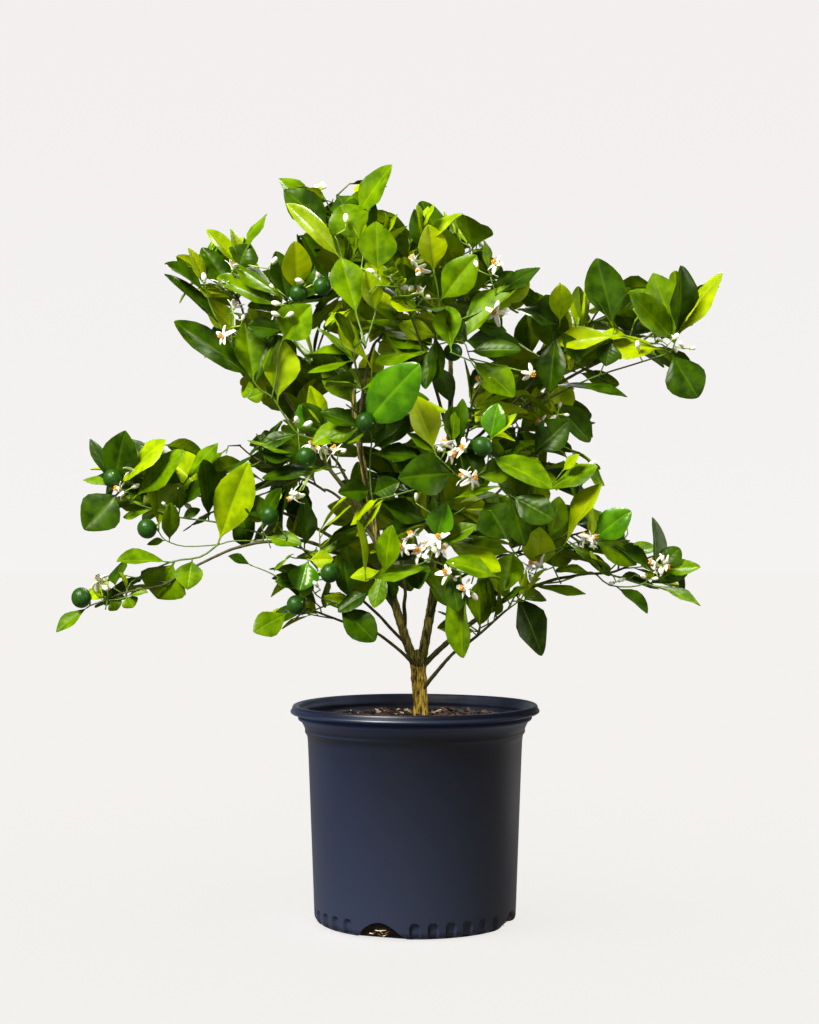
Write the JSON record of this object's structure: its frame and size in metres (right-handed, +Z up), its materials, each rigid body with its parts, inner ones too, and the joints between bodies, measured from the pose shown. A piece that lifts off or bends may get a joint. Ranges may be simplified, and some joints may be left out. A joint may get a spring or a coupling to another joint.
{
  "type": "potted calamondin orange tree",
  "caption": "Small calamondin orange tree in flower and young green fruit, forking low above the soil, in a plain round nursery pot that stands on its flat underside.",
  "frame": {"origin": "centre of the pot's flat underside", "axes": "+Z up along the pot's axis, the fullest view looks along +Y, and +X is to its right"},
  "size_m": [0.7517, 0.4232, 0.8568],
  "materials": {
    "pot_plastic": "semi-matte blow-moulded black plastic with a blue cast",
    "potting_mix": "coarse brown bark chips",
    "bark": "matte yellow-olive bark with fine cracks",
    "foliage": "leathery, glossy above and matte beneath"
  },
  "bodies": {
    "root": {"pot": "pot_plastic", "soil": "potting_mix", "trunk": "bark", "leader_left": "bark", "leader_right": "bark", "bough_left_low": "bark", "bough_left_mid": "bark", "bough_left_inner": "bark", "bough_left_upper": "bark", "bough_right_inner": "bark", "bough_right_upper": "bark", "bough_right_low": "bark", "bough_right_mid": "bark", "bough_right_foot": "bark", "bough_left_foot": "bark", "bough_left_front": "bark", "bough_front_upper": "bark", "bough_front_right": "bark", "bough_front_low": "bark", "bough_front_top": "bark", "bough_centre_right": "bark", "bough_back_top": "bark", "bough_back_left": "bark", "bough_back_right": "bark", "bough_back_low": "bark", "mass_left_low": "foliage", "mass_left_mid": "foliage", "mass_left_inner": "foliage", "mass_left_upper": "foliage", "mass_top_left": "foliage", "mass_top_right": "foliage", "mass_right_inner": "foliage", "mass_right_upper": "foliage", "mass_right_low": "foliage", "mass_right_mid": "foliage", "mass_right_foot": "foliage", "mass_left_foot": "foliage", "mass_left_front": "foliage", "mass_front_upper": "foliage", "mass_front_right": "foliage", "mass_front_low": "foliage", "mass_front_top": "foliage", "mass_centre_right": "foliage", "mass_back_top": "foliage", "mass_back_left": "foliage", "mass_back_right": "foliage", "mass_back_low": "foliage"}
  },
  "joints": []
}
